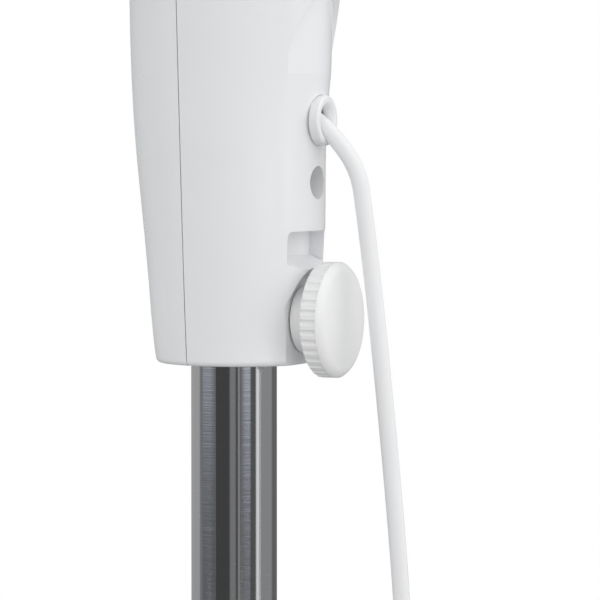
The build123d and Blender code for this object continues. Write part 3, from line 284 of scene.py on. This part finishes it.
WHITE = (0.82, 0.83, 0.84)
WHITE_SHADE = (0.79, 0.80, 0.815)
finishes = {
    "white_plastic": moulded("white_plastic", WHITE, WHITE_SHADE, 0.38),
    "housing_plastic": moulded(
        "housing_plastic", (0.84, 0.848, 0.86), (0.815, 0.825, 0.84), 0.26, 0.4, 0.15,
    ),
    "strip_plastic": moulded(
        "strip_plastic", (0.52, 0.56, 0.60), (0.48, 0.52, 0.56), 0.24, 0.3, 0.3,
    ),
    "button_plastic": moulded(
        "button_plastic", (0.84, 0.85, 0.86), (0.80, 0.82, 0.84), 0.24, 0.3, 0.2,
    ),
    "knob_plastic": moulded(
        "knob_plastic", (0.87, 0.872, 0.872), (0.85, 0.852, 0.854), 0.30, 0.6, 0.1,
    ),
    "bush_plastic": moulded("bush_plastic", (0.84, 0.848, 0.86), (0.81, 0.82, 0.835), 0.30, 0.4),
    "badge_plastic": moulded("badge_plastic", (0.60, 0.65, 0.70), (0.56, 0.61, 0.67), 0.22, 0.3, 0.4),
    "dark_plastic": moulded("dark_plastic", (0.030, 0.030, 0.032), (0.045, 0.045, 0.048), 0.48, 1.2),
    "cord_pvc": moulded("cord_pvc", (0.85, 0.855, 0.86), (0.825, 0.832, 0.84), 0.42, 0.8),
    "dark_rubber": rubber("dark_rubber", (0.022, 0.022, 0.023)),
    "iron_plate": enamel("iron_plate", (0.030, 0.030, 0.032), (0.045, 0.045, 0.047), 0.45),
    "white_paint": enamel("white_paint", (0.80, 0.81, 0.82), (0.78, 0.79, 0.80)),
    "guard_paint": enamel("guard_paint", (0.83, 0.84, 0.85), (0.80, 0.815, 0.83), 0.28),
    "zinc_steel": plated("zinc_steel", (0.62, 0.63, 0.64)),
    "plug_brass": plated("plug_brass", (0.76, 0.74, 0.70), 0.22),
    "cast_aluminium": plated("cast_aluminium", (0.60, 0.60, 0.61), 0.45),
    "winding_copper": plated("winding_copper", (0.60, 0.24, 0.10), 0.35),
    "pole_chrome": chromed(),
}


def lens_finish():
    """Glossy tinted lamp lens; light does not pass through it."""
    made = Finish("lamp_lens", IOR=1.5)
    cloud = made.noise(800.0, 2.0)
    return made.set(
        Base_Color=made.mix(cloud, (0.75, 0.16, 0.05), (0.85, 0.26, 0.08)),
        Roughness=0.12 + cloud * 0.05,
    ).material


def blade_finish():
    """Glossy pale blue blade plastic."""
    made = Finish("blade_plastic", IOR=1.49)
    flow = made.noise(30.0, 3.0, warp=1.0)
    return made.set(
        Base_Color=made.mix(flow, (0.62, 0.73, 0.80), (0.68, 0.78, 0.84)),
        Roughness=0.16 + flow * 0.08,
        Normal=made.bump(flow, 0.0004, 0.06),
    ).material


finishes["lamp_lens"] = lens_finish()
finishes["blade_plastic"] = blade_finish()


def paint(piece, slot):
    """Gives a piece the finish of a record slot."""
    piece.data.materials.clear()
    piece.data.materials.append(finishes[slot])


for row in frame["record"]["subparts"]:
    paint(frame["nodes"][row["node"]], row["material_slot"])


# ---------------------------------------------------------------- mains cord
CORD_WIDTH = 5.0 * MM
CORD_POINTS = [
    (0, 13.5, 718.6),
    (0, 38.0, 705.4),
    (0, 42.6, 676.0),
    (0, 48.6, 623.0),
    (0, 54.0, 564.0),
    (0, 55.8, 506.0),
    (0, 56.7, 450.0),
    (0, 57.5, 394.0),
    (0, 59.6, 336.0),
    (0, 63.0, 279.0),
    (-0.8, 68.0, 222.0),
    (-2.6, 75.5, 166.0),
    (-5.0, 86.5, 112.0),
    (-8.0, 101.0, 68.0),
    (-10.0, 123.0, 39.0),
    (-9.5, 150.0, 27.6),
    (-7.5, 178.0, 20.6),
    (-4.0, 200.0, 12.5),
    (0.5, 216.5, 4.9),
    (4.0, 230.0, 2.9),
    (5.1, 245.4, 3.1),
]
TAIL_POINTS = [
    (-60.5, 280.6, 8.3),
    (-72.0, 273.4, 7.5),
    (-83.0, 265.2, 7.0),
]
COIL_CENTRE = (-27.5, 262.0)
COIL_MID = 30.0
COIL_STEP = 5.15
COIL_LOW = 3.1
COIL_POINTS_A_TURN = 14
COIL_START = 12.0            # degrees round the coil, counted from +X
COIL_END = 3 * 360.0 + 112.0
INWARD_AT = 285.0            # where the cord steps to the inner turn, on to the upper layer, and out again
UP_AT = 645.0
OUTWARD_AT = 1005.0
STEP_SPAN = 70.0


def ease(share):
    """Smooth step from 0 to 1."""
    share = max(0.0, min(1.0, share))
    return share * share * (3 - 2 * share)


def coil_points():
    """Turns of the coil: outer and inner below, inner and outer above."""
    swell = 0.75 + 0.25 * math.cos(2 * math.pi / COIL_POINTS_A_TURN)
    count = round((COIL_END - COIL_START) / 360.0 * COIL_POINTS_A_TURN)
    found = []
    for i in range(count + 1):
        angle = COIL_START + (COIL_END - COIL_START) * i / count
        inward = ease((angle - INWARD_AT) / STEP_SPAN)
        up = ease((angle - UP_AT) / STEP_SPAN)
        outward = ease((angle - OUTWARD_AT) / STEP_SPAN)
        radius = (COIL_MID + COIL_STEP * (0.5 - inward + outward)) / swell
        turn = math.radians(angle)
        found.append((
            COIL_CENTRE[0] + radius * math.cos(turn),
            COIL_CENTRE[1] + radius * math.sin(turn),
            COIL_LOW + COIL_STEP * up,
        ))
    return found


def nurbs(name, points, bevel=0.0):
    """Smooth open curve on the points, in millimetres, as a temporary object."""
    data = bpy.data.curves.new(name, "CURVE")
    data.dimensions = "3D"
    data.resolution_u = 10
    data.bevel_depth = bevel
    data.bevel_resolution = 5
    data.use_fill_caps = True
    spline = data.splines.new("NURBS")
    spline.points.add(len(points) - 1)
    for point, place in zip(spline.points, points):
        point.co = (*[c * MM for c in place], 1.0)
    spline.order_u = 3
    spline.use_endpoint_u = True
    return bpy.data.objects.new(name, data)


def make_cord():
    """The whole cord as one tube on one smooth line, from the bush to the plug."""
    route = CORD_POINTS + coil_points() + TAIL_POINTS
    bare = nurbs("cord_line", route)
    line = [Vector(v.co) for v in bpy.data.meshes.new_from_object(bare).vertices]
    mesh = bpy.data.meshes.new_from_object(nurbs("cord_body", route, CORD_WIDTH / 2))
    cord = bpy.data.objects.new("mains_cord", mesh)
    bpy.context.scene.collection.objects.link(cord)
    for face in mesh.polygons:
        face.use_smooth = True
    paint(cord, "cord_pvc")
    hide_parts("cord_upper", "cord_lower", "cord_coil", "cord_tail")
    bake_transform(cord)


make_cord()


# ---------------------------------------------------------------- floor and light
FLOOR_HALF = 3.0
FLOOR_BOUNCE = (0.36, 0.36, 0.36)


def make_floor():
    """Plain pale floor, which throws back less light than it shows."""
    mesh = bpy.data.meshes.new("floor")
    grid = bmesh.new()
    bmesh.ops.create_grid(grid, x_segments=1, y_segments=1, size=FLOOR_HALF)
    grid.to_mesh(mesh)
    floor = bpy.data.objects.new("floor", mesh)
    bpy.context.scene.collection.objects.link(floor)
    made = Finish("floor_paint", Roughness=0.6)
    shown = made.mix(made.noise(3.0), (0.70, 0.70, 0.70), (0.72, 0.72, 0.72))
    looked_at = made.node("ShaderNodeLightPath").outputs["Is Camera Ray"]
    made.set(Base_Color=made.mix(looked_at, FLOOR_BOUNCE, shown))
    mesh.materials.append(made.material)


# brightness that polished metal mirrors, by degrees round from the camera's side, to its right positive
CARDS = (
    (-180, 0.42), (-118, 0.48), (-107, 0.48), (-102, 0.24), (-94, 0.24), (-90, 0.46), (-66, 0.46),
    (-56, 0.12), (-50, 0.075), (-12, 0.07), (-9, 0.27), (4, 0.27), (6, 0.085), (11, 0.085), (12, 0.40),
    (15, 0.40), (17, 0.13), (22, 0.26), (30, 0.54), (43, 0.60), (48, 0.12), (61, 0.12), (64, 1.0),
    (74, 1.0), (77, 0.36), (120, 0.35), (128, 0.17), (180, 0.16),
)
# where a cool window's edge makes fine rings in the metal sparkle
SPARKLE = ((-94, 0.0), (-90, 1.0), (-64, 1.0), (-57, 0.0), (20, 0.0), (28, 1.0), (45, 1.0), (49, 0.0))
SPARKLE_SLOPE = 22.0         # how fast the window's edge brightens upwards
CARD_SLOPE = 1.6             # and how fast the cards do
MIRROR_LEVEL = -0.063        # height of the direction that the pole mirrors to the camera
COOL = (0.93, 0.97, 1.07)    # tint of that window
DIMMEST = 0.35               # least and most that its slope makes of a card
BRIGHTEST = 2.4
SOFT_LIGHT = 1.42            # brightness of the room level with the fan
TO_RIGHT = 0.28              # how much brighter the camera's right side is
FROM_ABOVE = -0.62           # and the ceiling, which is dimmer


def make_world():
    """White behind the fan, a soft room that lights it, and the cards that bright metal mirrors."""
    world = bpy.data.worlds.new("studio")
    world.use_nodes = True
    bpy.context.scene.world = world
    room = Nodes(world.node_tree)
    x, y, z = room.along(room.node("ShaderNodeTexCoord").outputs["Generated"])
    turn = math.radians(AZIMUTH - 90.0)
    near = x * math.cos(turn) + y * math.sin(turn)
    right = y * math.cos(turn) - x * math.sin(turn)
    round_it = near.maths("ARCTAN2", right, near) / (2 * math.pi) + 0.5
    cards, sparkle = [
        room.node("ShaderNodeValToRGB", {"stops": [
            (degrees / 360.0 + 0.5, (light, light, light, 1.0)) for degrees, light in table
        ]}, {"Fac": round_it}).outputs["Color"]
        for table in (CARDS, SPARKLE)
    ]
    slope = Value(room, sparkle) * SPARKLE_SLOPE + CARD_SLOPE
    tint = room.node("ShaderNodeMix", {"data_type": "RGBA"}, {
        0: sparkle, 6: (1.0, 1.0, 1.0), 7: COOL,
    }).outputs[2]
    tinted = room.node("ShaderNodeVectorMath", {"operation": "MULTIPLY"}, {0: cards, 1: tint}).outputs[0]
    rise = 1.0 + (z - MIRROR_LEVEL) * slope
    rise = rise.maths("MAXIMUM", rise, DIMMEST)
    rise = rise.maths("MINIMUM", rise, BRIGHTEST)
    mirrored = room.node("ShaderNodeVectorMath", {"operation": "SCALE"}, {0: tinted, "Scale": rise})
    soft = SOFT_LIGHT + right * TO_RIGHT + z * FROM_ABOVE
    light = room.node("ShaderNodeLightPath").outputs
    grey = room.node("ShaderNodeCombineColor", {}, {0: soft, 1: soft, 2: soft}).outputs[0]
    seen = room.node("ShaderNodeMix", {"data_type": "RGBA"}, {
        0: light["Is Glossy Ray"], 6: grey, 7: mirrored.outputs[0],
    })
    behind = room.node("ShaderNodeMix", {"data_type": "RGBA"}, {
        0: light["Is Camera Ray"], 6: seen.outputs[2], 7: (1.0, 1.0, 1.0),
    })
    shining = room.node("ShaderNodeBackground", {}, {"Color": behind.outputs[2], "Strength": 1.0})
    room.node("ShaderNodeOutputWorld", {}, {"Surface": shining.outputs[0]})


make_floor()
make_world()
bpy.context.scene.view_settings.view_transform = "Standard"
